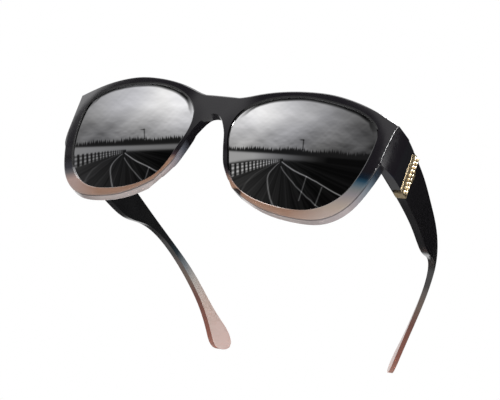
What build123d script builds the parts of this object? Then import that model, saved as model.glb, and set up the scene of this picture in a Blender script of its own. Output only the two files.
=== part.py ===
"""Fitover sunglasses: one moulded front with side wings, two mirrored lenses and two folding temples.

Row frame, in millimetres: +X is the wearer's left, -Y is the way the wearer looks, +Z is up.
x = 0 is the plane of symmetry and z = 0 is the table on which the lower rims rest. While the pieces
are drawn, y = 0 is the foremost point of the face. They are saved with y = 0 midway to the tips.
"""
import math
import os

from build123d import *

# Driving dimensions of the front
LENS_WIDTH = 59.0
LENS_HEIGHT = 51.3
BRIDGE_WIDTH = 18.8
BRIDGE_HEIGHT = 9.4
WRAP_RADIUS = 206.0
FACE_RADIUS = 154.0
RIM_TOP = 3.5
RIM_BOTTOM = 3.3
RIM_DEPTH = 5.2
END_WIDTH = 5.9
END_HEIGHT = 19.4
END_TOP_DROP = 7.3
LENS_RECESS = 0.8
LENS_THICKNESS = 1.8
GROOVE_DEPTH = 0.7
LENS_CLEARANCE = 0.05
BEZEL = 0.5
EDGE_ROUND = 0.8

# Nose pads moulded with the rims
PAD_LENGTH = 18.0
PAD_WALL = 1.9
PAD_CLEARANCE = 0.3
PAD_DEPTH = 8.6
NOSE_SPLAY = 2.6

# Side wings and temples
WING_LENGTH = 14.0
WING_BULGE = 4.1
WING_BOTTOM_DROP = 3.6
WING_TOP_DROP = 4.6
SIDE_WALL = 4.0
BOSS_WALL = 2.8
BOSS_ROOT = 1.0
BOSS_LENGTH = 9.6
BOSS_HEIGHT = 13.4
TEMPLE_LENGTH = 119.6
TIP_SPACING = 82.8
TIP_WALL = 2.2
JOINT_GAP = 0.3

# Metal hinge: five knuckles on a screw
BARREL_RADIUS = 1.75
HINGE_HEIGHT = 9.5
LEAF_LENGTH = 5.6
LEAF_WALL = 1.1
PEG_RADIUS = 0.6
PEG_LENGTH = 1.6
PEG_SPACING = 5.0
SCREW_RADIUS = 0.7
SCREW_HEAD_RADIUS = 1.3
SCREW_HEAD_HEIGHT = 0.8
SLOT_WIDTH = 0.35
RUNNING_CLEARANCE = 0.05
KNUCKLE_GAP = 0.1
HINGE_CLEARANCE = 0.3

# Gilt ornament on each temple
BAND_WIDTH = 4.0
BAND_WALL = 0.9
BAND_FOOT = 3.6
BAND_BULGE = 3.4
BAND_PEG_LENGTH = 2.4
BEAD_RADIUS = 0.85
BEAD_RELIEF = 0.5

OVERRUN = 20.0
KNUCKLES = 5
BEADS = 9
HALVINGS = 50

# Nose flare: shares of the pads' depth, and of the splay that is reached there
FLARE_SHARES = [(-0.25, -0.05), (0.0, 0.0), (0.7, 0.2), (1.0, 0.8), (1.3, 1.5)]
PAD_UP_SHARE = 0.79
# Shares of the bridge and wings
BRIDGE_FLAT_SHARE = 0.8
WING_SWELL_SHARE = 0.68
WING_LEAD = 0.6
BAND_TOP_SHARE = 0.98
BAND_LEAN = 0.04
BOSS_RAMP_SHARE = 0.5
ARCH_RISE_SHARE = 0.206
SHOULDER_FALL = 0.75


def face_y(x, z):
    """How far back the face's double curve is at a place: the wrap turns the upright arc about its own axis."""
    arc = WRAP_RADIUS - FACE_RADIUS + math.sqrt(FACE_RADIUS**2 - (z - LENS_Z) ** 2)
    return WRAP_RADIUS - math.sqrt(arc**2 - x**2)


# Places worked out from the sizes above
LENS_X = BRIDGE_WIDTH / 2 + LENS_WIDTH / 2
LENS_Z = RIM_BOTTOM + LENS_HEIGHT / 2
RIM_HALF_TOP = LENS_HEIGHT / 2 + RIM_TOP
RIM_HALF_BOTTOM = LENS_HEIGHT / 2 + RIM_BOTTOM
CREASE_X = BRIDGE_WIDTH / 2 + LENS_WIDTH + END_WIDTH
CREASE_Y = face_y(CREASE_X, LENS_Z)
CREASE_TOP = LENS_Z + RIM_HALF_TOP - END_TOP_DROP
CREASE_BOTTOM = CREASE_TOP - END_HEIGHT
FRONT_TOP = LENS_Z + RIM_HALF_TOP
SHOULDER_Y = face_y(CREASE_X, CREASE_TOP)
JOINT_Y = CREASE_Y + WING_LENGTH
JOINT_X = CREASE_X + WING_BULGE
JOINT_TOP = CREASE_TOP - WING_TOP_DROP
JOINT_BOTTOM = CREASE_BOTTOM - WING_BOTTOM_DROP
PAD_Z = LENS_Z * PAD_UP_SHARE
LENS_BACK = LENS_RECESS + LENS_THICKNESS
HINGE_X = JOINT_X - SIDE_WALL - BOSS_WALL
HINGE_Z = (JOINT_TOP + JOINT_BOTTOM) / 2
HINGE_REACH = BARREL_RADIUS + HINGE_CLEARANCE
BAND_Y = JOINT_Y + JOINT_GAP + BAND_WIDTH / 2
BAND_HEIGHT = JOINT_TOP * BAND_TOP_SHARE - JOINT_BOTTOM + BAND_WALL
BAND_PITCH = (BAND_HEIGHT - BAND_WALL) / BEADS
TIP_X = TIP_SPACING / 2
TIP_Y = JOINT_Y + TEMPLE_LENGTH
ARCH_TOP = LENS_Z + LENS_HEIGHT * ARCH_RISE_SHARE
BRIDGE_TOP = ARCH_TOP + BRIDGE_HEIGHT

# Lens opening: shares of half its width and half its height, from the nose side round by the top
LENS_SHARES = [
    (-1.0, 0.20), (-0.90, 0.56), (-0.60, 0.825), (-0.13, 0.98), (0.30, 0.98), (0.72, 0.895),
    (0.94, 0.70), (0.99, 0.36), (0.93, -0.19), (0.76, -0.645), (0.42, -0.94), (0.0, -1.0),
    (-0.41, -0.925), (-0.745, -0.68), (-0.905, -0.25),
]
# Brow line: shares of half the lens width and of the rim's half height above the lens middle
BROW_SHARES = [(-0.81, 0.778), (-0.44, 0.904), (-0.08, 0.976), (0.20, 1.0), (0.50, 0.975), (0.80, 0.905)]
# Lower rim, from under the wing round to the nose: the same, below the lens middle
LOWER_SHARES = [
    (1.142, 0.010), (1.051, -0.323), (0.892, -0.670), (0.750, -0.830), (0.542, -0.950), (0.30, -0.995),
    (0.061, -0.998), (-0.193, -0.965), (-0.383, -0.906), (-0.681, -0.753), (-1.0, -0.47),
]
# Nose arch: shares of half the bridge width and of the height from the arch's top to the table
NOSE_SHARES = [
    (0.32, 0.03), (0.585, 0.12), (0.777, 0.215), (0.947, 0.355), (1.096, 0.47), (1.34, 0.61), (1.69, 0.73),
    (2.17, 0.885),
]
# Directions in which the splines of the nose arch and of the brow start and end
NOSE_ENDS = [(1, 0), (0.7, -1)]
BROW_ENDS = [(1, 0.2), (1, -0.4)]
# Outer line of a temple in plan: shares of its length and of the way in from the joint to the tip
PLAN_SHARES = [(0.10, -0.013), (0.27, 0.05), (0.48, 0.162), (0.64, 0.315), (0.81, 0.595), (1.0, 1.0)]
# How much of the extra wall at the joint is left at each of those places
WALL_SHARES = [0.85, 0.70, 0.50, 0.40, 0.20, 0.0]
# Side view of a temple, along its top and round the tip: shares of its length and of the joint's top height
TOP_SHARES = [
    (0.15, 0.93), (0.38, 0.876), (0.55, 0.795), (0.66, 0.712), (0.80, 0.54), (0.93, 0.29), (0.99, 0.165),
    (1.0, 0.07), (0.965, 0.0), (0.92, 0.11),
]
# Side view of a temple, back along its lower edge: shares of its length and of the joint's bottom height
FOOT_SHARES = [(0.80, 0.751), (0.68, 1.055), (0.575, 1.145), (0.515, 1.105), (0.45, 1.01), (0.28, 0.97), (0.12, 0.95)]


def lens_points(grow):
    """Points of the lens opening, grown outwards by a length."""
    half_width = LENS_WIDTH / 2 + grow
    half_height = LENS_HEIGHT / 2 + grow
    return [(LENS_X + half_width * across, LENS_Z + half_height * up) for across, up in LENS_SHARES]


def wrapped_shell(front_depth, back_depth):
    """Slice of the face's double curve between two depths behind its front surface."""
    half_angle = math.degrees(math.asin(FRONT_TOP / FACE_RADIUS))
    sweep = 2 * math.degrees(math.asin((CREASE_X + OVERRUN) / WRAP_RADIUS))
    middle = (FACE_RADIUS, LENS_Z)
    with BuildPart() as shell:
        with BuildSketch(Plane.YZ):
            with BuildLine():
                outer = CenterArc(middle, FACE_RADIUS - front_depth, 180 - half_angle, 2 * half_angle)
                inner = CenterArc(middle, FACE_RADIUS - back_depth, 180 - half_angle, 2 * half_angle)
                Line(outer @ 0, inner @ 0)
                Line(outer @ 1, inner @ 1)
            make_face()
        revolve(axis=Axis((0, WRAP_RADIUS, 0), (0, 0, 1)), revolution_arc=sweep)
    return shell.part.rotate(Axis((0, WRAP_RADIUS, 0), (0, 0, 1)), -sweep / 2)


def rim_points(shares, half_height):
    """Points of the front's outline from shares of half the lens width and of the rim's half height."""
    return [(LENS_X + LENS_WIDTH / 2 * across, LENS_Z + half_height * up) for across, up in shares]


def nose_points(widen):
    """Points down one side of the nose arch, moved outwards by a length and upwards by half of it."""
    half = BRIDGE_WIDTH / 2
    return [(half * across + widen, ARCH_TOP * (1 - down) + widen / 2) for across, down in NOSE_SHARES]


def plan_points(wall_scale):
    """Points of the wing and temple in plan, on the outer face or that many walls inside it."""
    places = [(0.0, 0.0)] + PLAN_SHARES
    walls = [SIDE_WALL] + [TIP_WALL + (SIDE_WALL - TIP_WALL) * share for share in WALL_SHARES]
    inner = wall_scale * SIDE_WALL
    points = [
        (CREASE_X - WING_LEAD * SIDE_WALL - inner, SHOULDER_Y - SIDE_WALL),
        (CREASE_X - inner, SHOULDER_Y),
        (CREASE_X + WING_BULGE * WING_SWELL_SHARE - inner, CREASE_Y + WING_LENGTH / 2),
    ]
    for (along, inwards), wall in zip(places, walls):
        x = JOINT_X + (TIP_X - JOINT_X) * inwards - wall_scale * wall
        points.append((x, JOINT_Y + TEMPLE_LENGTH * along))
    return points


def band_corners(inwards):
    """Plan of the ornament's band, from a length inside the temple's outer face to the band's own face."""
    near = JOINT_Y + JOINT_GAP
    far = near + BAND_WIDTH
    face = JOINT_X + BAND_WALL
    return [(JOINT_X - inwards, near), (face, near), (face + BAND_LEAN * BAND_WIDTH, far), (JOINT_X - inwards, far)]


def bead_places():
    """Middles of the beads: two staggered rows down the band."""
    out = JOINT_X + BAND_WALL + BAND_LEAN * BAND_WIDTH / 2 + BEAD_RELIEF - BEAD_RADIUS
    places = []
    for row in (-1, 1):
        for index in range(BEADS):
            up = JOINT_BOTTOM + BAND_PITCH * (index + (2 + row) / 4)
            places.append((out, BAND_Y + row * BAND_WIDTH / 4, up))
    return places


def mirrored(piece):
    """The same piece on the other side of the face."""
    return mirror(piece, about=Plane.YZ)


def cut_both(*pieces):
    """Cut pieces and their mirror images out of the part being built."""
    for piece in pieces:
        add(piece, mode=Mode.SUBTRACT)
        add(mirrored(piece), mode=Mode.SUBTRACT)


def save(piece, name):
    """Label a finished piece and write its STEP file."""
    placed = piece.moved(Location((0, -TIP_Y / 2, 0)))
    placed.label = name
    export_step(placed, f"parts/{name}.step")


def lens_prism(grow):
    """The lens opening, grown by a length, carried straight through the front."""
    with BuildPart() as prism:
        with BuildSketch(Plane.XZ):
            with BuildLine():
                Spline(lens_points(grow), periodic=True)
            make_face()
        extrude(amount=CREASE_Y + OVERRUN, both=True)
    return prism.part


def nose_space(wall):
    """Space between the pads, which opens out towards the wearer, grown by a wall."""
    with BuildPart() as space:
        for back, splay in FLARE_SHARES:
            widen = NOSE_SPLAY * splay + wall
            with BuildSketch(Plane.XZ.offset(-PAD_DEPTH * back)):
                with BuildLine():
                    side = Spline([(0, ARCH_TOP + widen / 2)] + nose_points(widen), tangents=NOSE_ENDS)
                    foot = Line(side @ 1, ((side @ 1).X, -OVERRUN))
                    Line(foot @ 1, (0, -OVERRUN))
                    mirror(about=Plane.YZ)
                make_face()
        loft()
    return space.part


def wing_start(z):
    """Where the outer face of the wing and temple comes out of the front's face at a height."""
    line = Spline(plan_points(0), mode=Mode.PRIVATE)
    inner, outer = 0.0, 1.0
    for _ in range(HALVINGS):
        middle = line @ ((inner + outer) / 2)
        if middle.Y < face_y(middle.X, z):
            inner = (inner + outer) / 2
        else:
            outer = (inner + outer) / 2
    return (line @ outer).X, (line @ outer).Y


def edges_at(piece, places):
    """The edges of a piece that pass through some places and through their mirror images."""
    found = []
    for x, y, z in places:
        for side in (-1, 1):
            nearest = piece.edges().sort_by_distance((side * x, y, z))[0]
            if nearest not in found:
                found.append(nearest)
    return found


ELBOW_X, ELBOW_Y = wing_start(CREASE_BOTTOM)
CREASE_MIDDLE = (CREASE_TOP + CREASE_BOTTOM) / 2

def between_sides(wall_scale):
    """Everything between the two wings and temples, out to their outer faces or that many walls inside them."""
    with BuildPart() as space:
        with BuildSketch(Plane.XY.offset(-OVERRUN)):
            with BuildLine():
                side = Spline(plan_points(wall_scale))
                corner = ((side @ 0).X, -OVERRUN)
                Polyline(side @ 0, corner, (0, -OVERRUN), (0, (side @ 1).Y), side @ 1)
            make_face()
        extrude(amount=FRONT_TOP + 2 * OVERRUN)
        mirror(about=Plane.YZ)
    return space.part


# Wing and temple in one blank: its side view carried across, then cut to its plan
with BuildPart() as side_slab:
    with BuildSketch(Plane.YZ):
        with BuildLine():
            shoulder = (SHOULDER_Y, CREASE_TOP)
            elbow = (ELBOW_Y, CREASE_BOTTOM)
            top = [(JOINT_Y + TEMPLE_LENGTH * along, JOINT_TOP * up) for along, up in TOP_SHARES]
            foot = [(JOINT_Y + TEMPLE_LENGTH * along, JOINT_BOTTOM * up) for along, up in FOOT_SHARES]
            Spline([shoulder, (JOINT_Y, JOINT_TOP)] + top + foot + [(JOINT_Y, JOINT_BOTTOM), elbow])
            Polyline(elbow, (CREASE_Y - SIDE_WALL, CREASE_BOTTOM), (CREASE_Y - SIDE_WALL, CREASE_TOP), shoulder)
        make_face()
    extrude(amount=JOINT_X + OVERRUN)

with BuildPart() as side_blank:
    with BuildSketch(Plane.XY.offset(-OVERRUN)):
        with BuildLine():
            outside = Spline(plan_points(0))
            inside = Spline(plan_points(1))
            Line(outside @ 0, inside @ 0)
            Line(outside @ 1, inside @ 1)
        make_face()
    extrude(amount=FRONT_TOP + 2 * OVERRUN)
    add(side_slab.part, mode=Mode.INTERSECT)

with BuildPart() as boss_blank:
    with Locations((HINGE_X, JOINT_Y, HINGE_Z)):
        Box(BOSS_WALL + BOSS_ROOT, 2 * BOSS_LENGTH, BOSS_HEIGHT, align=(Align.MIN, Align.CENTER, Align.CENTER))
    chamfer(boss_blank.edges().filter_by(Axis.Z).group_by(Axis.X)[0], BOSS_WALL * BOSS_RAMP_SHARE)

# The wing still reaches out past its outer face, to which the finished front is cut
with BuildPart() as wing:
    add(side_slab.part)
    add(between_sides(1), mode=Mode.SUBTRACT)
    add(boss_blank.part)
    split(bisect_by=Plane.XZ.offset(JOINT_GAP / 2 - JOINT_Y), keep=Keep.TOP)
    add(wrapped_shell(0, WING_LENGTH + SIDE_WALL + BOSS_WALL), mode=Mode.INTERSECT)

# Pads: walls round the space for the nose, behind the lenses, rounded off as seen from the side
with BuildPart() as pads:
    add(nose_space(PAD_WALL))
    with BuildSketch(Plane.YZ.offset(-OVERRUN)):
        with Locations((LENS_BACK, PAD_Z)):
            Ellipse(PAD_DEPTH - LENS_BACK, PAD_LENGTH / 2)
    extrude(amount=2 * OVERRUN, mode=Mode.INTERSECT)
    add(wrapped_shell(LENS_BACK + PAD_CLEARANCE, PAD_DEPTH + OVERRUN), mode=Mode.INTERSECT)

# Seats of the two hinge leaves in their bosses: each a plate with two pegs
def leaf_seat(direction):
    """Plate and pegs of one leaf, on the wing's side of the joint (-1) or the temple's (1)."""
    middle = JOINT_Y + direction * (HINGE_REACH + LEAF_LENGTH / 2)
    with BuildPart() as seat:
        with Locations((HINGE_X, middle, HINGE_Z)):
            Box(LEAF_WALL, LEAF_LENGTH, HINGE_HEIGHT, align=(Align.MIN, Align.CENTER, Align.CENTER))
        with BuildSketch(Plane.YZ.offset(HINGE_X + LEAF_WALL)):
            with Locations((middle, HINGE_Z - PEG_SPACING / 2), (middle, HINGE_Z + PEG_SPACING / 2)):
                Circle(PEG_RADIUS)
        extrude(amount=PEG_LENGTH)
    return seat.part


def hinge_leaf(direction, knuckles):
    """One leaf with its knuckles, which share the screw with the other leaf's."""
    pitch = (HINGE_HEIGHT + KNUCKLE_GAP) / KNUCKLES
    with BuildPart() as leaf:
        add(leaf_seat(direction))
        for index in knuckles:
            with BuildSketch(Plane.XY.offset(HINGE_Z - HINGE_HEIGHT / 2 + index * pitch)):
                with Locations((HINGE_X, JOINT_Y)):
                    Circle(BARREL_RADIUS)
                with Locations((HINGE_X + LEAF_WALL / 2, JOINT_Y + direction * HINGE_REACH / 2)):
                    Rectangle(LEAF_WALL, HINGE_REACH)
                with Locations((HINGE_X, JOINT_Y)):
                    Circle(SCREW_RADIUS + RUNNING_CLEARANCE, mode=Mode.SUBTRACT)
            extrude(amount=pitch - KNUCKLE_GAP)
    return leaf.part


with BuildPart() as hinge_pocket:
    with BuildSketch(Plane.XY.offset(HINGE_Z - HINGE_HEIGHT / 2 - HINGE_CLEARANCE)):
        with Locations((HINGE_X, JOINT_Y)):
            Circle(HINGE_REACH)
        with Locations((HINGE_X + LEAF_WALL / 2, JOINT_Y)):
            Rectangle(LEAF_WALL, 2 * HINGE_REACH)
    extrude(amount=HINGE_HEIGHT + BOSS_HEIGHT)

# Groove round a lens opening
with BuildPart() as groove:
    add(lens_prism(GROOVE_DEPTH))
    add(wrapped_shell(LENS_RECESS, LENS_BACK), mode=Mode.INTERSECT)

# Front: rims, bridge, nose pads and side wings moulded in one
with BuildPart() as front:
    with BuildSketch(Plane.XZ):
        with BuildLine():
            bridge = Line((0, BRIDGE_TOP), (BRIDGE_WIDTH * BRIDGE_FLAT_SHARE / 2, BRIDGE_TOP))
            over_lens = rim_points(BROW_SHARES, RIM_HALF_TOP)
            brow = Spline([bridge @ 1] + over_lens + [(CREASE_X, CREASE_TOP)], tangents=BROW_ENDS)
            far = CREASE_X + SIDE_WALL
            end = Polyline(brow @ 1, (far, CREASE_TOP - SHOULDER_FALL * SIDE_WALL), (far, CREASE_BOTTOM))
            elbow = Line(end @ 1, (ELBOW_X, CREASE_BOTTOM))
            lower = Spline([elbow @ 1] + rim_points(LOWER_SHARES, RIM_HALF_BOTTOM))
            Line(lower @ 1, (0, ARCH_TOP))
            mirror(about=Plane.YZ)
        make_face()
    extrude(amount=CREASE_Y + OVERRUN, both=True)
    add(wrapped_shell(0, RIM_DEPTH), mode=Mode.INTERSECT)
    add(wing.part)
    add(mirrored(wing.part))
    add(between_sides(0), mode=Mode.INTERSECT)
    long_edges = [edge for edge in front.edges() if edge.length > LENS_WIDTH]
    bridge_front = (0, face_y(0, BRIDGE_TOP), BRIDGE_TOP)
    bridge_back = (0, face_y(0, BRIDGE_TOP) + RIM_DEPTH, BRIDGE_TOP)
    crease_places = [(*wing_start(CREASE_MIDDLE), CREASE_MIDDLE)]
    fillet(long_edges + edges_at(front, [bridge_front, bridge_back] + crease_places), EDGE_ROUND)
    cut_both(lens_prism(0))
    opening_x, opening_z = lens_points(0)[0]
    chamfer(edges_at(front, [(opening_x, face_y(opening_x, opening_z), opening_z)]), BEZEL)
    add(pads.part)
    add(nose_space(0), mode=Mode.SUBTRACT)
    cut_both(groove.part, hinge_pocket.part, leaf_seat(-1))

with BuildPart() as lens:
    add(lens_prism(GROOVE_DEPTH - LENS_CLEARANCE))
    add(wrapped_shell(LENS_RECESS + LENS_CLEARANCE, LENS_BACK - LENS_CLEARANCE), mode=Mode.INTERSECT)

with BuildPart() as screw:
    with BuildSketch(Plane.XY.offset(HINGE_Z - HINGE_HEIGHT / 2)):
        with Locations((HINGE_X, JOINT_Y)):
            Circle(SCREW_RADIUS)
    extrude(amount=HINGE_HEIGHT)
    with BuildSketch(Plane.XY.offset(HINGE_Z + HINGE_HEIGHT / 2)):
        with Locations((HINGE_X, JOINT_Y)):
            Circle(SCREW_HEAD_RADIUS)
    extrude(amount=SCREW_HEAD_HEIGHT)
    with BuildSketch(Plane.XY.offset(HINGE_Z + HINGE_HEIGHT / 2 + SCREW_HEAD_HEIGHT / 2)):
        with Locations((HINGE_X, JOINT_Y)):
            Rectangle(SLOT_WIDTH, 2 * SCREW_HEAD_RADIUS)
    extrude(amount=SCREW_HEAD_HEIGHT, mode=Mode.SUBTRACT)

# Gilt casting on the temple's front end: a band with two rows of beads, an oval and a foot
with BuildPart() as band_pegs:
    with BuildSketch(Plane.YZ.offset(JOINT_X - BAND_PEG_LENGTH)):
        for up in (-END_HEIGHT / 4, END_HEIGHT / 4):
            with Locations((BAND_Y, HINGE_Z + up)):
                Circle(PEG_RADIUS)
    extrude(amount=BAND_PEG_LENGTH + BAND_WALL / 2)

with BuildPart() as ornament:
    with BuildSketch(Plane.XY.offset(JOINT_BOTTOM - BAND_WALL)):
        with BuildLine():
            Polyline(band_corners(SIDE_WALL / 2), close=True)
        make_face()
    extrude(amount=BAND_HEIGHT)
    with BuildSketch(Plane.XY.offset(JOINT_BOTTOM - BAND_WALL)):
        with BuildLine():
            Polyline(band_corners(BAND_FOOT), close=True)
        make_face()
    extrude(amount=2 * BAND_WALL)
    with BuildSketch(Plane.YZ.offset(JOINT_X)):
        with Locations((BAND_Y + BAND_WIDTH / 4, HINGE_Z)):
            Ellipse(BAND_WIDTH / 2, BAND_BULGE)
    extrude(amount=BAND_WALL + JOINT_GAP)
    with Locations(bead_places()):
        Sphere(BEAD_RADIUS, rotation=(0, 90, 0))
    add(side_blank.part, mode=Mode.SUBTRACT)
    add(band_pegs.part)

with BuildPart() as temple:
    add(side_blank.part)
    add(boss_blank.part)
    split(bisect_by=Plane.XZ.offset(-JOINT_GAP / 2 - JOINT_Y), keep=Keep.BOTTOM)
    add(hinge_pocket.part, mode=Mode.SUBTRACT)
    add(leaf_seat(1), mode=Mode.SUBTRACT)
    add(band_pegs.part, mode=Mode.SUBTRACT)

os.makedirs("parts", exist_ok=True)
save(front.part, "front_frame")
pieces = {
    "lens": lens.part,
    "temple": temple.part,
    "hinge_front_leaf": hinge_leaf(-1, range(0, KNUCKLES, 2)),
    "hinge_temple_leaf": hinge_leaf(1, range(1, KNUCKLES, 2)),
    "hinge_screw": screw.part,
    "ornament": ornament.part,
}
for name, piece in pieces.items():
    save(mirrored(piece), f"{name}_right")
    save(piece, f"{name}_left")
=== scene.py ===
"""Looks of the fitover sunglasses: finishes for the moulded front, the temples, the gilt castings, the
hinges and the mirrored lenses, with a studio that the lenses can mirror.

All lengths are in metres, in the part's own frame: +X is the wearer's left and -Y is the way the wearer looks.
"""
import math

import bpy
import numpy as np
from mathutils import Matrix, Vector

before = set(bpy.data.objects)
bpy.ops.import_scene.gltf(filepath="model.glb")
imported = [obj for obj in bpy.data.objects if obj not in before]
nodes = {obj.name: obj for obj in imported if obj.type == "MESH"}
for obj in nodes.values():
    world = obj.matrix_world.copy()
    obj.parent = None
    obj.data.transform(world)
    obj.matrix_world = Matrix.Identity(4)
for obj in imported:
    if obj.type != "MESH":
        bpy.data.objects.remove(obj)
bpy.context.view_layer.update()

MM = 0.001

# The face's double curve, as the part has it
WRAP_RADIUS = 206 * MM
FACE_RADIUS = 154 * MM
FACE_Y = -73.733 * MM
# The lenses: their middles, their size, and how far their fronts lie behind the face
LENS_X = 38.9 * MM
LENS_Z = 28.95 * MM
LENS_WIDTH = 59 * MM
LENS_HEIGHT = 51.3 * MM
LENS_DEPTH = 0.85 * MM
# A lens's top edge from the nose outwards, in shares of half its width and of half its height
LENS_TOP_SHARES = [
    (-1.0, 0.20), (-0.90, 0.56), (-0.60, 0.825), (-0.13, 0.98),
    (0.30, 0.98), (0.72, 0.895), (0.94, 0.70), (0.99, 0.36),
]

# The photograph's frame in pixels, and where its camera stood, with its turns in degrees
IMAGE_WIDTH = 500
IMAGE_HEIGHT = 400
FOCAL_PIXELS = 2893.0
CAMERA_PLACE = (554.3 * MM, -985.3 * MM, -475.8 * MM)
CAMERA_AZIMUTH = 29.92
CAMERA_ELEVATION = -24.41
CAMERA_ROLL = 19.82
# Blender wants the sensor in millimetres
SENSOR_WIDTH = 36.0
CLIP_NEAR = 0.05
CLIP_FAR = 60.0

# The shader nodes in use
PRINCIPLED = "ShaderNodeBsdfPrincipled"
EMISSION = "ShaderNodeEmission"
OUTPUT = "ShaderNodeOutputMaterial"
COORDINATES = "ShaderNodeTexCoord"
ATTRIBUTE = "ShaderNodeAttribute"
MAPPING = "ShaderNodeMapping"
APART = "ShaderNodeSeparateXYZ"
NOISE = "ShaderNodeTexNoise"
HOLLOWS = "ShaderNodeAmbientOcclusion"
MATH = "ShaderNodeMath"
RANGE = "ShaderNodeMapRange"
RAMP = "ShaderNodeValToRGB"
CURVE = "ShaderNodeFloatCurve"
MIX = "ShaderNodeMix"
BUMP = "ShaderNodeBump"
# Places of a colour Mix node's inputs and of its output, which have the same names for its other types
SHARE, UNDER, OVER, MIXED = 0, 6, 7, 2


def unbent(share):
    """sRGB shares from 0 to 1 as linear ones."""
    return np.where(share <= 0.04045, share / 12.92, ((share + 0.055) / 1.055) ** 2.4)


def linear(hex_colour):
    """An sRGB hex colour as linear red, green, blue and alpha."""
    shares = np.array([int(hex_colour[i:i + 2], 16) / 255 for i in (1, 3, 5)])
    return (*unbent(shares).tolist(), 1.0)


def camera_axes():
    """The camera's right, up and back directions: turned by azimuth and elevation, then rolled about its own
    axis."""
    a, e, roll = (math.radians(d) for d in (CAMERA_AZIMUTH, CAMERA_ELEVATION, CAMERA_ROLL))
    back = np.array([math.sin(a) * math.cos(e), -math.cos(a) * math.cos(e), math.sin(e)])
    level = np.array([math.cos(a), math.sin(a), 0.0])
    raised = np.cross(back, level)
    right = math.cos(roll) * level + math.sin(roll) * raised
    up = -math.sin(roll) * level + math.cos(roll) * raised
    return right, up, back


def picture_place(points):
    """Where points show in the photograph's frame, in pixels: offset over distance, times the focal length."""
    right, up, back = camera_axes()
    seen = points - np.array(CAMERA_PLACE)
    distance = -(seen @ back)
    across = IMAGE_WIDTH / 2 + FOCAL_PIXELS * (seen @ right) / distance
    down = IMAGE_HEIGHT / 2 - FOCAL_PIXELS * (seen @ up) / distance
    return across, down


def face_points(x, z, depth):
    """Points of the face's double curve that many metres behind its front, with the normals there.

    The height gives the angle up the upright arc, whose sine is the height over the arc's radius. That angle
    gives the distance from the wrap's upright axis, and x over that distance is the sine of the angle round it.
    """
    arc = FACE_RADIUS - depth
    tilt = np.arcsin((z - LENS_Z) / arc)
    reach = WRAP_RADIUS - FACE_RADIUS + arc * np.cos(tilt)
    turn = np.arcsin(x / reach)
    points = np.stack([x, FACE_Y + WRAP_RADIUS - reach * np.cos(turn), z], axis=-1)
    normals = np.stack([np.sin(turn) * np.cos(tilt), -np.cos(turn) * np.cos(tilt), np.sin(tilt)], axis=-1)
    return points, normals


def mesh_from(name, points, faces):
    """A new object from arrays of points and of faces, linked to the scene."""
    mesh = bpy.data.meshes.new(name)
    mesh.from_pydata(points.reshape(-1, 3).tolist(), [], faces.tolist())
    made = bpy.data.objects.new(name, mesh)
    bpy.context.scene.collection.objects.link(made)
    return made


def grid_faces(rows, columns):
    """The four corners of each cell of a grid of points, counted row by row."""
    corner = (np.arange(rows - 1)[:, None] * columns + np.arange(columns - 1)[None, :]).ravel()
    return np.stack([corner, corner + 1, corner + columns + 1, corner + columns], axis=-1)


def connect(tree, node, inputs):
    """Link each of a node's inputs to a socket or to another node's first output, or set it to a value."""
    for name, value in inputs.items():
        if isinstance(value, bpy.types.Node):
            value = value.outputs[0]
        if isinstance(value, bpy.types.NodeSocket):
            tree.links.new(value, node.inputs[name])
        else:
            node.inputs[name].default_value = value


def add_node(tree, kind, inputs=None, stops=(), points=(), **settings):
    """Add a shader node with its settings and its inputs, and with a ramp's (place, sRGB hex) stops or a
    curve's (place, height) points."""
    made = tree.nodes.new(kind)
    for name, value in settings.items():
        setattr(made, name, value)
    connect(tree, made, inputs or {})
    if stops:
        elements = made.color_ramp.elements
        while len(elements) < len(stops):
            elements.new(1.0)
        for element, (place, colour) in zip(elements, stops):
            element.position = place
            element.color = linear(colour)
    if points:
        line = made.mapping.curves[0]
        while len(line.points) < len(points):
            line.points.new(0.5, 0.5)
        for point, place in zip(line.points, points):
            point.location = place
        made.mapping.update()
    return made


def new_material(name, kind=PRINCIPLED):
    """An empty material with one shader on its output, its node tree and that shader."""
    material = bpy.data.materials.new(name)
    material.use_nodes = True
    tree = material.node_tree
    tree.nodes.clear()
    shader = add_node(tree, kind)
    add_node(tree, OUTPUT, {"Surface": shader})
    return material, tree, shader


# A moulded surface's grain, and its dull and glossy areas
GRAIN_WIDTH = 0.25 * MM
GRAIN_HEIGHT = 0.02 * MM
GRAIN_STRENGTH = 0.04
AREA_WIDTH = 12 * MM
# Values between which most of a noise lies
NOISE_LOW, NOISE_HIGH = 0.3, 0.7


def moulded_surface(tree, shader, coordinates, smooth, dull):
    """Give a surface the slight unevenness of its mould: a grain in the bump, and areas whose roughness goes
    from smooth to dull, both from noise whose scale is one over their width."""
    areas = add_node(tree, NOISE, {"Vector": coordinates, "Scale": 1 / AREA_WIDTH, "Detail": 2.0})
    span = {"Value": areas, "From Min": NOISE_LOW, "From Max": NOISE_HIGH, "To Min": smooth, "To Max": dull}
    grain = add_node(tree, NOISE, {"Vector": coordinates, "Scale": 1 / GRAIN_WIDTH, "Detail": 3.0})
    bump = {"Height": grain, "Strength": GRAIN_STRENGTH, "Distance": GRAIN_HEIGHT}
    connect(tree, shader, {"Roughness": add_node(tree, RANGE, span), "Normal": add_node(tree, BUMP, bump)})


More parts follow.
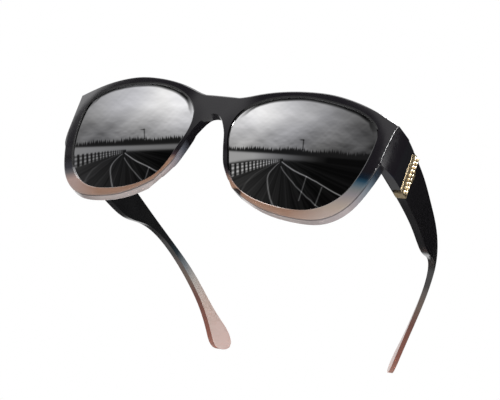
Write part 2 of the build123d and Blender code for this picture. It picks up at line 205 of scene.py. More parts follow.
def depth_behind_face(tree, spot):
    """How far a point of the front lies behind the face's double curve: its y less the curve's y at its x and z,
    which is the wrap's axis less the square root of the reach there squared less x squared."""
    rise = add_node(tree, MATH, {0: spot["Z"], 1: LENS_Z}, operation="SUBTRACT")
    rise_squared = add_node(tree, MATH, {0: rise, 1: 2.0}, operation="POWER")
    upright_squared = add_node(tree, MATH, {0: FACE_RADIUS**2, 1: rise_squared}, operation="SUBTRACT")
    upright = add_node(tree, MATH, {0: upright_squared}, operation="SQRT")
    reach = add_node(tree, MATH, {0: upright, 1: WRAP_RADIUS - FACE_RADIUS}, operation="ADD")
    reach_squared = add_node(tree, MATH, {0: reach, 1: 2.0}, operation="POWER")
    x_squared = add_node(tree, MATH, {0: spot["X"], 1: 2.0}, operation="POWER")
    forward_squared = add_node(tree, MATH, {0: reach_squared, 1: x_squared}, operation="SUBTRACT")
    forward = add_node(tree, MATH, {0: forward_squared}, operation="SQRT")
    from_axis = add_node(tree, MATH, {0: spot["Y"], 1: FACE_Y + WRAP_RADIUS}, operation="SUBTRACT")
    return add_node(tree, MATH, {0: from_axis, 1: forward}, operation="ADD")


def into_opening(tree, spot, facing):
    """How far a surface faces the middle of its lens opening, from the product of its normal and the way from
    that middle: positive on the opening's walls and bezel."""
    side = add_node(tree, MATH, {0: spot["X"]}, operation="SIGN")
    from_nose = add_node(tree, MATH, {0: spot["X"]}, operation="ABSOLUTE")
    outward = add_node(tree, MATH, {0: from_nose, 1: LENS_X}, operation="SUBTRACT")
    facing_out = add_node(tree, MATH, {0: facing["X"], 1: side}, operation="MULTIPLY")
    across = add_node(tree, MATH, {0: facing_out, 1: outward}, operation="MULTIPLY")
    upward = add_node(tree, MATH, {0: spot["Z"], 1: LENS_Z}, operation="SUBTRACT")
    up = add_node(tree, MATH, {0: facing["Z"], 1: upward}, operation="MULTIPLY")
    away = add_node(tree, MATH, {0: across, 1: up}, operation="ADD")
    return add_node(tree, MATH, {0: away, 1: -LENS_HEIGHT / 2}, operation="DIVIDE")


# A soft dark oval beside the nose on the left rim: its middle and its half axes, across and up
DARK_OVAL_MIDDLE = {"X": 20.5 * MM, "Z": 5.9 * MM}
DARK_OVAL_HALF = {"X": 2.6 * MM, "Z": 1.6 * MM}


def dark_oval(tree, spot):
    """1 inside a soft dark oval beside the nose, 0 outside: from the sum of the squares of the distances
    over the oval's half axes."""
    squares = []
    for axis, half in DARK_OVAL_HALF.items():
        offset = add_node(tree, MATH, {0: spot[axis], 1: DARK_OVAL_MIDDLE[axis]}, operation="SUBTRACT")
        ratio = add_node(tree, MATH, {0: offset, 1: half}, operation="DIVIDE")
        squares.append(add_node(tree, MATH, {0: ratio, 1: 2.0}, operation="POWER"))
    total = add_node(tree, MATH, {0: squares[0], 1: squares[1]}, operation="ADD")
    return add_node(tree, RANGE, {"Value": total, "From Min": 1.5, "From Max": 0.5})


# Clear cellulose plastics bend light by 1.46 to 1.50
PLASTIC_IOR = 1.49
DYE_BLACK = "#18161a"
# The line round which the front's dye fades, over its width and from its foot up, and what 1 is in each
DYE_LINE = [(0, 0.29), (0.09, 0.29), (0.44, 0.45), (0.59, 0.31), (0.94, 0.54), (1, 0.54)]
DYE_HALF_WIDTH = 80 * MM
DYE_HEIGHT = 40 * MM
# The front's dyes from below the line up to the black: in the middle, at the wearer's left and at the right
FACE_DYES = (
    [
        (0.17, "#a5826e"), (0.40, "#a27c67"), (0.564, "#9c7863"),
        (0.673, "#8d7266"), (0.777, "#3c3034"), (0.886, DYE_BLACK),
    ],
    [
        (0.03, "#bcaaa0"), (0.17, "#b5a699"), (0.44, "#8b8588"), (0.555, "#727475"),
        (0.66, "#4a5b66"), (0.74, "#1f3b4d"), (0.82, "#0c1a27"), (0.95, DYE_BLACK),
    ],
    [(0.17, "#b29c94"), (0.52, "#ad958e"), (0.68, "#5e5b5e"), (0.79, "#333339"), (1.0, DYE_BLACK)],
)
# The same fade on the walls, painted greyer and lighter than the face as painted light for the light through the
# clear plastic
WALL_DYES_WITH_PAINTED_LIGHT = (
    [
        (0.0, "#cabfbc"), (0.33, "#c2b5b2"), (0.48, "#ab9fa1"),
        (0.64, "#86838a"), (0.80, "#55575f"), (0.95, DYE_BLACK),
    ],
    [
        (0.20, "#b4a9a9"), (0.33, "#a19ca0"), (0.48, "#83888f"),
        (0.64, "#58646e"), (0.80, "#252f3a"), (0.95, DYE_BLACK),
    ],
    [(0.0, "#a39894"), (0.33, "#8f868a"), (0.55, "#6a6871"), (0.80, "#3b3b44"), (0.95, DYE_BLACK)],
)
# How much light goes through the front up the fade, as a share of what the clear plastic lets through
FRONT_CLEAR = [(0.0, "#ffffff"), (0.45, "#c0c0c0"), (0.72, "#000000")]
FRONT_CLEAR_MOST = 0.35
# The painted shade line where the face turns into the walls, the soft dark oval, the wings, and the painted shade
# on the opening's inner walls
EDGE_SHADE_COLOUR = "#2c2422"
EDGE_SHADE_STRENGTH = 0.9
DARK_OVAL_COLOUR = "#241715"
WING_COLOUR = "#19191c"
INNER_WALL_SHADE_COLOUR = "#0a090a"


def fading_front_plastic():
    """Injection-moulded cellulose propionate, dyed black above and left clear blush below: the dye fades through
    navy at the wearer's left end, through brown beside the nose and through mauve at the right end. The walls
    follow the same fade but are painted greyer and lighter than the face, as painted light for the light that
    the clear part lets through, with a painted shade line where the face turns into them. The inner walls of the
    openings get painted shade, and a soft dark oval is painted beside the nose on the left rim."""
    material, tree, shader = new_material("dyed_plastic_front")
    place = add_node(tree, COORDINATES)
    spot = add_node(tree, APART, {"Vector": place.outputs["Object"]}).outputs
    facing = add_node(tree, APART, {"Vector": place.outputs["Normal"]}).outputs
    width = {"Value": spot["X"], "From Min": -DYE_HALF_WIDTH, "From Max": DYE_HALF_WIDTH}
    line_share = add_node(tree, CURVE, {"Value": add_node(tree, RANGE, width)}, points=DYE_LINE)
    line_height = add_node(tree, MATH, {0: line_share, 1: DYE_HEIGHT}, operation="MULTIPLY")
    above = add_node(tree, MATH, {0: spot["Z"], 1: line_height}, operation="SUBTRACT")
    depth = depth_behind_face(tree, spot)
    # Each share goes from 0 at the first of its two values to 1 at the second
    spans = {
        "up the face's fade": (above, -16 * MM, 6 * MM),
        "up the walls' fade": (above, -16 * MM, 10 * MM),
        "to the left end": (spot["X"], 44 * MM, 58 * MM),
        "to the right end": (spot["X"], -44 * MM, -58 * MM),
        "turned into the walls": (depth, 0.25 * MM, 0.75 * MM),
        "before the line's end": (depth, 1.4 * MM, 0.8 * MM),
        "behind the rims": (depth, 5.4 * MM, 6.4 * MM),
        "facing the opening": (into_opening(tree, spot, facing), 0.15, 0.45),
        "above the clear part": (spot["Z"], 9 * MM, 15 * MM),
    }
    shares = {}
    for name, (value, low, high) in spans.items():
        shares[name] = add_node(tree, RANGE, {"Value": value, "From Min": low, "From Max": high})
    dyed = []
    for fade, dyes in (("up the face's fade", FACE_DYES), ("up the walls' fade", WALL_DYES_WITH_PAINTED_LIGHT)):
        middle, left, right = (add_node(tree, RAMP, {0: shares[fade]}, stops=stops) for stops in dyes)
        for end, over in (("to the left end", left), ("to the right end", right)):
            sockets = {SHARE: shares[end], UNDER: middle, OVER: over}
            middle = add_node(tree, MIX, sockets, data_type="RGBA").outputs[MIXED]
        dyed.append(middle)
    colour, walls = dyed
    in_the_clear = {"Value": shares["up the face's fade"], "From Min": 0.85, "From Max": 0.6}
    # Painted shade: a dark line along the rounded edge where the face turns into the walls
    line = shares["turned into the walls"]
    for share in (shares["before the line's end"], add_node(tree, RANGE, in_the_clear), EDGE_SHADE_STRENGTH):
        line = add_node(tree, MATH, {0: line, 1: share}, operation="MULTIPLY")
    ends = {0: shares["to the left end"], 1: shares["to the right end"]}
    wings = {0: add_node(tree, MATH, ends, operation="ADD"), 1: shares["behind the rims"]}
    inner = {0: shares["facing the opening"], 1: shares["above the clear part"]}
    layers = (
        # Painted light: the walls take their lighter, greyer colours from here on
        (shares["turned into the walls"], walls),
        (line, linear(EDGE_SHADE_COLOUR)),
        # A soft oval beside the nose on the left rim is darkened
        (dark_oval(tree, spot), linear(DARK_OVAL_COLOUR)),
        (add_node(tree, MATH, wings, operation="MULTIPLY"), linear(WING_COLOUR)),
        # Painted shade: the opening's inner walls above the clear part are darkened to near black
        (add_node(tree, MATH, inner, operation="MULTIPLY"), linear(INNER_WALL_SHADE_COLOUR)),
    )
    for share, over in layers:
        colour = add_node(tree, MIX, {SHARE: share, UNDER: colour, OVER: over}, data_type="RGBA").outputs[MIXED]
    clear = add_node(tree, RAMP, {0: shares["up the face's fade"]}, stops=FRONT_CLEAR)
    connect(tree, shader, {
        "Base Color": colour,
        "Transmission Weight": add_node(tree, MATH, {0: clear, 1: FRONT_CLEAR_MOST}, operation="MULTIPLY"),
        "IOR": PLASTIC_IOR,
        "Specular IOR Level": 0.4,
    })
    moulded_surface(tree, shader, place.outputs["Object"], smooth=0.07, dull=0.12)
    return material


# A temple's dye from its front end back, over this stretch, on its inner and on its outer face
TEMPLE_FRONT = -46 * MM
TEMPLE_BACK = 74 * MM
TEMPLE_INSIDE = [
    (0.58, "#131314"), (0.65, "#161618"), (0.70, "#252f35"), (0.75, "#6a6f73"),
    (0.80, "#a59e98"), (0.87, "#b79f94"), (1.0, "#c6a9a1"),
]
TEMPLE_OUTSIDE = [
    (0.45, "#141315"), (0.55, "#201f20"), (0.70, "#343231"), (0.73, "#584f4c"),
    (0.78, "#69594f"), (0.84, "#70453a"), (0.92, "#93594a"), (0.98, "#bd9384"),
]
TEMPLE_CLEAR_MOST = 0.25


def fading_temple_plastic():
    """The same plastic on a temple: black in front, fading through slate to blush at the tip, with the outer
    face and the edges a deeper red brown, which also shows through the inner face of the left one."""
    material, tree, shader = new_material("dyed_plastic_temple")
    place = add_node(tree, COORDINATES)
    spot = add_node(tree, APART, {"Vector": place.outputs["Object"]}).outputs
    facing = add_node(tree, APART, {"Vector": place.outputs["Normal"]}).outputs
    back = add_node(tree, RANGE, {"Value": spot["Y"], "From Min": TEMPLE_FRONT, "From Max": TEMPLE_BACK})
    inside = add_node(tree, RAMP, {0: back}, stops=TEMPLE_INSIDE)
    outside = add_node(tree, RAMP, {0: back}, stops=TEMPLE_OUTSIDE)
    side = add_node(tree, MATH, {0: spot["X"]}, operation="SIGN")
    outward = add_node(tree, MATH, {0: facing["X"], 1: side}, operation="MULTIPLY")
    inward = add_node(tree, RANGE, {"Value": outward, "From Min": -0.55, "From Max": -0.85})
    # The inner face's own dye is whole on the right temple and a thin veil on the left one
    veil = {"Value": spot["X"], "From Min": -1 * MM, "From Max": 1 * MM, "To Min": 1.0, "To Max": 0.35}
    covered = add_node(tree, MATH, {0: inward, 1: add_node(tree, RANGE, veil)}, operation="MULTIPLY")
    sockets = {SHARE: covered, UNDER: outside, OVER: inside}
    clear = add_node(tree, RANGE, {"Value": back, "From Min": 0.72, "From Max": 0.9})
    connect(tree, shader, {
        "Base Color": add_node(tree, MIX, sockets, data_type="RGBA").outputs[MIXED],
        "Transmission Weight": add_node(tree, MATH, {0: clear, 1: TEMPLE_CLEAR_MOST}, operation="MULTIPLY"),
        "IOR": PLASTIC_IOR,
        "Specular IOR Level": 0.35,
    })
    moulded_surface(tree, shader, place.outputs["Object"], smooth=0.14, dull=0.22)
    return material


def gilt_casting():
    """Zinc casting with a thin gold plating, polished on the beads, with painted shade darkening the hollows
    between them. Its blotches are about 0.9 mm across."""
    material, tree, shader = new_material("gilt_zinc_casting")
    place = add_node(tree, COORDINATES)
    blotch = add_node(tree, NOISE, {"Vector": place.outputs["Object"], "Scale": 1 / (0.9 * MM), "Detail": 2.0})
    gilt = add_node(tree, RAMP, {0: blotch}, stops=[(0.3, "#e6c795"), (0.55, "#f5e0b8"), (0.75, "#fbefd3")])
    # Painted shade: ambient occlusion darkens the hollows between the beads towards a dark brown
    open_sky = add_node(tree, HOLLOWS, {"Distance": 0.8 * MM}, only_local=True, samples=8).outputs["AO"]
    unshaded_share = add_node(tree, RANGE, {"Value": open_sky, "From Min": 0.35, "From Max": 0.85})
    sockets = {SHARE: unshaded_share, UNDER: linear("#5d4220"), OVER: gilt}
    colour = add_node(tree, MIX, sockets, data_type="RGBA").outputs[MIXED]
    connect(tree, shader, {"Base Color": colour, "Metallic": 1.0})
    moulded_surface(tree, shader, place.outputs["Object"], smooth=0.26, dull=0.36)
    return material


def brushed_hinge():
    """Nickel-plated steel, brushed along the hinge's leaves: its strokes are about 0.15 mm wide and ten times
    as long."""
    material, tree, shader = new_material("nickel_plated_steel")
    place = add_node(tree, COORDINATES)
    stretched = add_node(tree, MAPPING, {"Vector": place.outputs["Object"], "Scale": (1.0, 0.1, 1.0)}).outputs[0]
    strokes = add_node(tree, NOISE, {"Vector": stretched, "Scale": 1 / (0.15 * MM), "Detail": 2.0})
    colour = add_node(tree, RAMP, {0: strokes}, stops=[(NOISE_LOW, "#8f9092"), (NOISE_HIGH, "#c4c5c7")])
    connect(tree, shader, {"Base Color": colour, "Metallic": 1.0})
    moulded_surface(tree, shader, stretched, smooth=0.25, dull=0.4)
    return material


def mirrored_lens():
    """Dark grey polycarbonate with a neutral mirror coating on its front: it shows what stands in front of the
    wearer, with a faint cast where the coating is thicker, in areas about 25 mm across, and its back and rim are
    plain glossy dark grey."""
    material, tree, shader = new_material("mirror_coated_polycarbonate")
    place = add_node(tree, COORDINATES)
    facing = add_node(tree, APART, {"Vector": place.outputs["Normal"]}).outputs
    coated = add_node(tree, RANGE, {"Value": facing["Y"], "From Min": -0.3, "From Max": -0.5})
    cast = add_node(tree, NOISE, {"Vector": place.outputs["Object"], "Scale": 1 / (25 * MM), "Detail": 1.0})
    mirror = add_node(tree, RAMP, {0: cast}, stops=[(NOISE_LOW, "#e9e9ee"), (NOISE_HIGH, "#f0efee")])
    grey = add_node(tree, RAMP, {0: cast}, stops=[(NOISE_LOW, "#1f2022"), (NOISE_HIGH, "#242527")])
    colour = add_node(tree, MIX, {SHARE: coated, UNDER: grey, OVER: mirror}, data_type="RGBA").outputs[MIXED]
    connect(tree, shader, {"Base Color": colour, "Metallic": coated, "Roughness": 0.005})
    return material


def dress(prefix, material):
    """Give every CAD node whose name starts that way the material."""
    for name, piece in nodes.items():
        if name.startswith(prefix):
            piece.data.materials.clear()
            piece.data.materials.append(material)


dress("front_frame", fading_front_plastic())
dress("temple", fading_temple_plastic())
dress("ornament", gilt_casting())
dress("hinge", brushed_hinge())
dress("lens", mirrored_lens())


# What the lenses mirror: a landscape in tones from 0 to 1, in pixels of the photograph. Heights are above the
# horizon, and an edge's sharpness is what its logistic curve has for each pixel. A wave is its height, its rate
# for each pixel or radian, and its start.
TONES = (0.03, 1)
SKY_FOOT, SKY_RISE = 12, 34
SKY_TONES = (0.12, 0.95)
SKY_FOOT_SHARE = 0.60
CLOUD_SEED = 5
CLOUD_WAVES = 64
CLOUD_RATES = (0.15, 2.6)
CLOUD_LEAN = 1.4
CLOUD_TONE = 0.12
FIR_HEIGHT, FIR_DIP, FIR_DIP_REACH, FIR_TONE, FIR_SHARPNESS = 12.5, 2.5, 40, 0.10, 2.6
# The firs' clumps are the product of two waves, to which the others are added
FIR_CLUMPS = ((1.1, 1.9, 0), (1, 0.37, 0))
FIR_WAVES = ((0.9, 3.1, 1), (0.8, 0.16, 0))
STRIP_HEIGHT, STRIP_SHARPNESS = 6.5, 2.4
# The ground's edge rises above the horizon by a pixel, and falls off to the left with the square of the way
GROUND_HEIGHT, GROUND_FALL, GROUND_REACH, GROUND_SHARPNESS = 1, 0.00231, 90, 1.8
SOIL_TONE, SOIL_CHANGE, SOIL_TONES = 0.095, -0.0016, (0.04, 0.17)
GRAVEL_HEIGHT = 4
GRAVEL_WAVES = ((0.0156, 23, 0), (0.0104, 61, 1), (0.0104, 97, 0))
# The fence's upper and lower edge: how far down each starts, how far it drops over the reach, and its power
FENCE_TOP = (-2.2, 5.2, 1.3)
FENCE_FOOT = (0.1, 16, 1.1)
FENCE_REACH, FENCE_SHARPNESS, FENCE_FADE = 52, 4, 6
FENCE_GAP_TONE = 0.10
PICKET_RATE, PICKET_START = 90, 22
FENCE_BARS, BAR_SHARE = 3, 0.55
# The lane's edge: its way across at places down, over how many pixels its bends are rounded, its tone, where it
# starts, its width, and what that gains for each pixel down, up to the last
LANE = ((-6, 1, 10, 16, 28, 38, 46, 60), (6, -3, -13, -16, -15, -13, -9.4, -4), 4)
LANE_TONE, LANE_FROM, LANE_WIDTH, LANE_WIDENING, LANE_LAST = 0.30, 1.5, 0.5, 0.008, 60
VERGE_TONE, VERGE_FROM, VERGE_WIDTH, VERGE_REACH, VERGE_BEND, VERGE_LAST = 0.08, 2, 1.0, 48, 15, 80
# The handrail and its lower rail: each one's way down at places across and its rounding, its tone, between
# which places it shows, and its width
RAILS = (
    (((-8, -1, 8, 23, 37, 48, 60, 75), (-6, 1, 8, 15, 23, 30, 36, 44), 4), 0.48, -1, 66, 0.6),
    (((-6, -2, 4, 17, 30, 36), (-2, 6, 15, 30, 42, 48), 3), 0.30, -2, 40, 0.8),
)
# The handrail's posts, each from its top to its foot, across and down
POSTS = (((23, 15), (15, 40)), ((39, 26), (32, 45)))
POST_TONE, POST_WIDTH = 0.24, 0.6
# The lamp: its post's place across, foot and top, its arm's middle, height and half width, and how dark it is
LAMP_ACROSS, LAMP_FOOT, LAMP_TOP, LAMP_WIDTH = 19, 12, 23, 0.5
ARM_ACROSS, ARM_HEIGHT, ARM_HALF_WIDTH = 17.5, 22, 2.2
LAMP_DARKNESS = 0.35


def span_array(value, low, high):
    """Values as shares of the way from low to high, kept between 0 and 1."""
    return np.clip((value - low) / (high - low), 0, 1)


def past_edge(distance, sharpness):
    """0 turning to 1 as a distance passes nought: one over one plus e to minus the distance times the sharpness."""
    return 1 / (1 + np.exp(-distance * sharpness))


def soft_line(distance, width):
    """1 on a line, falling off as a bell of that width."""
    return np.exp(-((distance / width) ** 2))


def bent_line(value, places, heights, rounding):
    """A line through given places, its corners rounded by taking the mean over a stretch round each value."""
    offsets = (-1, -0.5, 0, 0.5, 1)
    return np.mean([np.interp(value + offset * rounding, places, heights) for offset in offsets], axis=0)


def wave(value, height, rate, start):
    """A sine of a value."""
    return height * np.sin(value * rate + start)


def cloud_waves(across, down):
    """Soft mottling from -1 to 1: a sum of waves of seeded leans and starts, longer across than down, each one's
    height falling with its rate."""
    seeded = np.random.default_rng(CLOUD_SEED)
    rates = np.geomspace(*CLOUD_RATES, CLOUD_WAVES)
    leans = seeded.uniform(-CLOUD_LEAN, CLOUD_LEAN, CLOUD_WAVES)
    starts = seeded.uniform(0, 2 * math.pi, CLOUD_WAVES)
    total = np.zeros_like(across)
    for rate, lean, start in zip(rates, leans, starts):
        total += wave(0.5 * across * lean + down * (1 - 0.3 * abs(lean)), rate**-0.5, rate, start)
    return total / np.abs(total).max()


def sky_tone(across, down, middle, change):
    """The sky's tone, which changes evenly across and falls off towards the horizon, under soft clouds that are
    half as strong high up."""
    height = np.clip((-down - SKY_FOOT) / SKY_RISE, 0, 1)
    plain = np.clip(middle + change * across, *SKY_TONES) * (SKY_FOOT_SHARE + (1 - SKY_FOOT_SHARE) * height)
    return plain + CLOUD_TONE * cloud_waves(across, down) * (1 - 0.5 * height)


def fir_edge(across):
    """How far down the firs' tops are: a level that dips to the left, less the sum of their waves."""
    clumps = math.prod(wave(across, *facts) for facts in FIR_CLUMPS)
    tops = clumps + sum(wave(across, *facts) for facts in FIR_WAVES)
    return FIR_DIP * span_array(-across, 0, FIR_DIP_REACH) - FIR_HEIGHT - tops


def ground_tone(a, across, down):
    """The road's and the verge's tone, lighter to the left, with streaks of gravel that run from just above the
    road's end: a sum of waves of the angle round it."""
    rays = np.arctan2(down + GRAVEL_HEIGHT, across)
    soil = np.clip(SOIL_TONE + SOIL_CHANGE * a, *SOIL_TONES)
    return soil + sum(wave(rays, *facts) for facts in GRAVEL_WAVES)


def fence_over(tone, a, b, picket_tone):
    """The tone with a fence left of the road's end: between two edges that drop with a power of the way left,
    its pickets are cosines of that way's logarithm, as perspective spaces them, and its bars cosines of the
    height."""
    left = np.clip(-a, 0.01, 90)
    top, foot = (start + drop * (left / FENCE_REACH) ** power for start, drop, power in (FENCE_TOP, FENCE_FOOT))
    inside = past_edge(b - top, FENCE_SHARPNESS) * past_edge(foot - b, FENCE_SHARPNESS)
    pickets = np.clip(0.5 + 0.9 * np.cos(PICKET_RATE * np.log1p(left / PICKET_START)), 0, 1)
    bars = 0.5 + 0.5 * np.cos(2 * math.pi * FENCE_BARS * (b - top) / (foot - top + 0.5))
    fence = FENCE_GAP_TONE + picket_tone * pickets * (1 - BAR_SHARE + BAR_SHARE * bars)
    fence = fence * np.clip(left / FENCE_FADE, 0, 1)
    return np.where(a < 0, tone * (1 - inside) + fence * inside, tone)


def road_lines(a, b):
    """What the road's lines add to the tone: the lane's edge, the verge, whose way left grows to its reach as one
    less an exponential, the rails and their posts, each a bell across a line."""
    lane = soft_line(a - bent_line(b, *LANE), LANE_WIDTH + LANE_WIDENING * np.clip(b, 0, LANE_LAST))
    verge = soft_line(a + VERGE_REACH * (1 - np.exp(-np.clip(b, 0, VERGE_LAST) / VERGE_BEND)), VERGE_WIDTH)
    added = LANE_TONE * (b > LANE_FROM) * lane + VERGE_TONE * (b > VERGE_FROM) * verge
    for line, tone, start, end, width in RAILS:
        added = added + tone * (a > start) * (a < end) * soft_line(b - bent_line(a, *line), width)
    for top, foot in POSTS:
        share = (b - top[1]) / (foot[1] - top[1])
        post = soft_line(a - top[0] - share * (foot[0] - top[0]), POST_WIDTH)
        added = added + POST_TONE * (share > 0) * (share < 1) * post
    return added


def landscape(a, b, slope, sky, strip, picket_tone):
    """The tone of an evening landscape in grey: sky, a line of firs, a lit strip, a fence, and a road with a
    handrail and a lamp, a and b pixels across and down from the place where the road meets the horizon.

    The horizon is turned by the slope, and each band from the sky down is laid over the last one from its edge.
    """
    turn = math.radians(slope)
    across = a * math.cos(turn) + b * math.sin(turn)
    down = b * math.cos(turn) - a * math.sin(turn)
    ground_edge = GROUND_FALL * np.clip(across, -GROUND_REACH, 0) ** 2 - GROUND_HEIGHT
    strip_middle, strip_change, *strip_tones = strip
    bands = (
        (fir_edge(across), FIR_SHARPNESS, FIR_TONE),
        (-STRIP_HEIGHT, STRIP_SHARPNESS, np.clip(strip_middle + strip_change * across, *strip_tones)),
        (ground_edge, GROUND_SHARPNESS, ground_tone(a, across, down)),
    )
    tone = sky_tone(across, down, *sky)
    for edge, sharpness, laid in bands:
        cover = past_edge(down - edge, sharpness)
        tone = tone * (1 - cover) + laid * cover
    tone = fence_over(tone, a, b, picket_tone) + road_lines(a, b)
    post = (down > -LAMP_TOP) * (down < -LAMP_FOOT) * soft_line(across - LAMP_ACROSS, LAMP_WIDTH)
    arm = soft_line(down + ARM_HEIGHT, LAMP_WIDTH) * soft_line(across - ARM_ACROSS, ARM_HALF_WIDTH)
    return np.clip(tone - LAMP_DARKNESS * (post + arm), *TONES)


def glossy_only(board, tone):
    """Finish a stage board with a tone on its points as its glow, so that it shows only in glossy surfaces."""
    board.data.attributes.new("tone", "FLOAT", "POINT").data.foreach_set("value", tone.ravel().astype(np.float32))
    material, tree, glow = new_material(board.name, EMISSION)
    tone_read = add_node(tree, ATTRIBUTE, attribute_name="tone")
    connect(tree, glow, {"Color": (1, 1, 1, 1), "Strength": tone_read.outputs["Fac"]})
    board.data.materials.append(material)
    board.visible_camera = False
    board.visible_diffuse = False
    board.visible_transmission = False
    board.visible_shadow = False


# The boards that the lenses mirror: how far they stand off, how far past its middle each covers its lens, in
# shares of the lens's size, their points across and up, and how bright a tone of 1 is against the white room
LANDSCAPE_DISTANCE = 1.6
LANDSCAPE_REACH_SHARE = 0.72
LANDSCAPE_GRID = (420, 360)
LANDSCAPE_GLOW = 1.15
# The rim's shade under the lens's top edge, and the share of the half width at which it has ended
RIM_SHADE = 0.88
RIM_SHADE_SHARES = (0.01, 0.06)
RIM_SHADE_END_SHARE = 0.95
RIM_SHADE_FADE_SHARE = 0.2
TOP_ROUNDING_SHARE = 0.13
# The lens's outline as a rounded square: its landscape ends where the powers of the shares of its half width
# and half height add up to between these sums
OUTLINE_POWER = 2.6
OUTLINE_SUMS = (1.34, 1.5)
# For each board: the lens's side, the pixel where its road meets the horizon, the horizon's slope in degrees,
# the sky's tone there and its change for each pixel across, the same of the lit strip with its lowest and
# highest tone, the tone of the fence's pickets, and the tone round the lens with what it gains outwards
LANDSCAPES = {
    "landscape_for_left_lens": (
        1, (283.0, 161.0), 4.0, (0.80, -0.0055), (0.38, -0.0075, 0.04, 0.6), 0.6, (1.0, 0.0),
    ),
    "landscape_for_right_lens": (
        -1, (126.0, 152.0), -2.0, (0.74, 0.0042), (0.46, -0.001, 0.3, 0.5), 0.42, (0.95, 0.35),
    ),
}


def lay_landscape(name, side, road_end, slope, sky, strip, picket_tone, surround):
    """A curved board that the lens on that side mirrors, so that the landscape stands upright in the lens.

    Each point of a grid over the lens sends the camera's ray on by the law of reflection, twice the share along
    the normal less the ray, and the board's point lies at one distance along it. Outside the lens's outline the
    board has one light tone, for the rims to mirror.
    """
    reaches = (np.linspace(-LANDSCAPE_REACH_SHARE, LANDSCAPE_REACH_SHARE, count) for count in LANDSCAPE_GRID)
    across, up = np.meshgrid(*reaches)
    points, normals = face_points(side * LENS_X + across * LENS_WIDTH, LENS_Z + up * LENS_HEIGHT, LENS_DEPTH)
    towards = np.array(CAMERA_PLACE) - points
    towards /= np.linalg.norm(towards, axis=-1, keepdims=True)
    sent = 2 * np.sum(towards * normals, axis=-1, keepdims=True) * normals - towards
    pixel_across, pixel_down = picture_place(points)
    tone = landscape(pixel_across - road_end[0], pixel_down - road_end[1], slope, sky, strip, picket_tone)
    outward, upward = 2 * side * across, 2 * up
    top_edge = bent_line(outward, *zip(*LENS_TOP_SHARES), TOP_ROUNDING_SHARE)
    below_top = 1 - span_array(top_edge - upward, *RIM_SHADE_SHARES)
    before_ends = span_array(RIM_SHADE_END_SHARE - np.abs(outward), 0, RIM_SHADE_FADE_SHARE)
    tone = tone * (1 - RIM_SHADE * below_top * before_ends)
    beyond = span_array(np.abs(outward) ** OUTLINE_POWER + np.abs(upward) ** OUTLINE_POWER, *OUTLINE_SUMS)
    tone = tone * (1 - beyond) + (surround[0] + surround[1] * span_array(outward, 0.5, 1.0)) * beyond
    board = mesh_from(name, points + LANDSCAPE_DISTANCE * sent, grid_faces(*across.shape))
    glossy_only(board, LANDSCAPE_GLOW * unbent(tone))


for name, facts in LANDSCAPES.items():
    lay_landscape(name, *facts)


BOARD_DISTANCE = 1.4
BOARD_GRID = 60
# Boards round the part: their azimuths and elevations, their glow against the white room's 1, and their soft
# margin, in degrees
BOARDS = {
    # A dark corner that the wings and the temples mirror, and one below that their undersides mirror
    "dark_corner": ((-47, 108), (-14, 50), 0.0, 1),
    "dark_underside": ((84, 165), (-46, 0), 0.1, 8),
    # A strip for the corners' edge, and a bright board above the dark corner, which only the rough gilt picks up
    "corner_strip": ((-52, -48), (18, 40), 100.0, 0.8),
    "gilt_light": ((10, 100), (52, 82), 60.0, 4),
}


def hang_board(name, azimuths, elevations, strength, soft):
    """A piece of a sphere round the part, from one azimuth and elevation to another, whose glow goes from the
    white room's at its edges to its own within the soft margin."""
    azimuth, elevation = np.meshgrid(np.linspace(*azimuths, BOARD_GRID), np.linspace(*elevations, BOARD_GRID))
    a, e = np.radians(azimuth), np.radians(elevation)
    place = BOARD_DISTANCE * np.stack([np.cos(a) * np.cos(e), np.sin(a) * np.cos(e), np.sin(e)], axis=-1)
    insets = [azimuth - azimuths[0], azimuths[1] - azimuth, elevation - elevations[0], elevations[1] - elevation]
    tone = 1 + (strength - 1) * span_array(np.min(insets, axis=0), 0, soft)
    glossy_only(mesh_from(name, place + np.array([0, 0, LENS_Z]), grid_faces(*azimuth.shape)), tone)


for name, facts in BOARDS.items():
    hang_board(name, *facts)


# The floor, well below the part, as the photograph looks up at it from below
FLOOR_Z = -1.9
FLOOR_HALF_WIDTH = 12
# The soft lights: place, width across and power in watts, turned towards the middle of the part
SOFTBOXES = {
    "top_softbox": ((-0.3, -0.5, 1.2), 0.8, 6.0),
    "side_softbox": ((1.2, -0.2, 0.3), 0.6, 4.0),
}
PART_MIDDLE = (0, 0, 0.03)


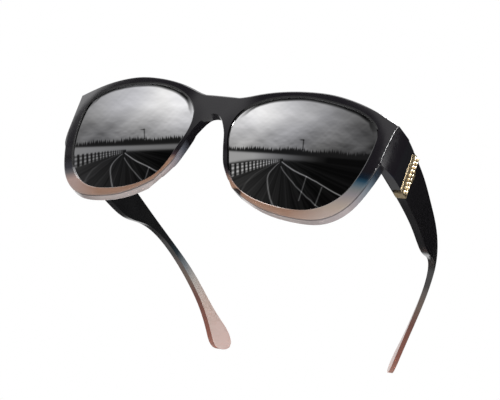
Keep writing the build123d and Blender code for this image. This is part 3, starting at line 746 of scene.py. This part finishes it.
def studio():
    """A pale floor of painted board, a white room, and two soft lights."""
    shares = np.array([(-1, -1), (1, -1), (1, 1), (-1, 1)])
    corners = np.concatenate([FLOOR_HALF_WIDTH * shares, np.full((4, 1), FLOOR_Z)], axis=1)
    floor = mesh_from("floor", corners, np.array([[0, 1, 2, 3]]))
    material, tree, shader = new_material("pale_floor")
    place = add_node(tree, COORDINATES)
    speck = add_node(tree, NOISE, {"Vector": place.outputs["Object"], "Scale": 3.0})
    colour = add_node(tree, RAMP, {0: speck}, stops=[(NOISE_LOW, "#f0f0f0"), (NOISE_HIGH, "#f4f4f4")])
    connect(tree, shader, {"Base Color": colour, "Roughness": 0.9})
    floor.data.materials.append(material)
    world = bpy.data.worlds.new("white_room")
    world.use_nodes = True
    connect(world.node_tree, world.node_tree.nodes["Background"], {"Color": (1, 1, 1, 1), "Strength": 1.0})
    bpy.context.scene.world = world
    for name, (place, width, power) in SOFTBOXES.items():
        lamp = bpy.data.lights.new(name, "AREA")
        lamp.shape = "DISK"
        lamp.size = width
        lamp.energy = power
        softbox = bpy.data.objects.new(name, lamp)
        bpy.context.scene.collection.objects.link(softbox)
        softbox.location = place
        softbox.rotation_mode = "QUATERNION"
        softbox.rotation_quaternion = (Vector(PART_MIDDLE) - Vector(place)).to_track_quat("-Z", "Y")


def photograph_camera():
    """The camera of the photograph: far off, below and to the wearer's left, rolled."""
    camera = bpy.data.cameras.new("photograph_camera")
    camera.sensor_width = SENSOR_WIDTH
    camera.lens = FOCAL_PIXELS / IMAGE_WIDTH * SENSOR_WIDTH
    camera.clip_start = CLIP_NEAR
    camera.clip_end = CLIP_FAR
    stand = bpy.data.objects.new("photograph_camera", camera)
    bpy.context.scene.collection.objects.link(stand)
    right, up, back = camera_axes()
    rows = [[right[i], up[i], back[i], CAMERA_PLACE[i]] for i in range(3)]
    stand.matrix_world = Matrix(rows + [[0, 0, 0, 1]])
    bpy.context.scene.camera = stand


studio()
photograph_camera()
bpy.context.scene.view_settings.view_transform = "Standard"
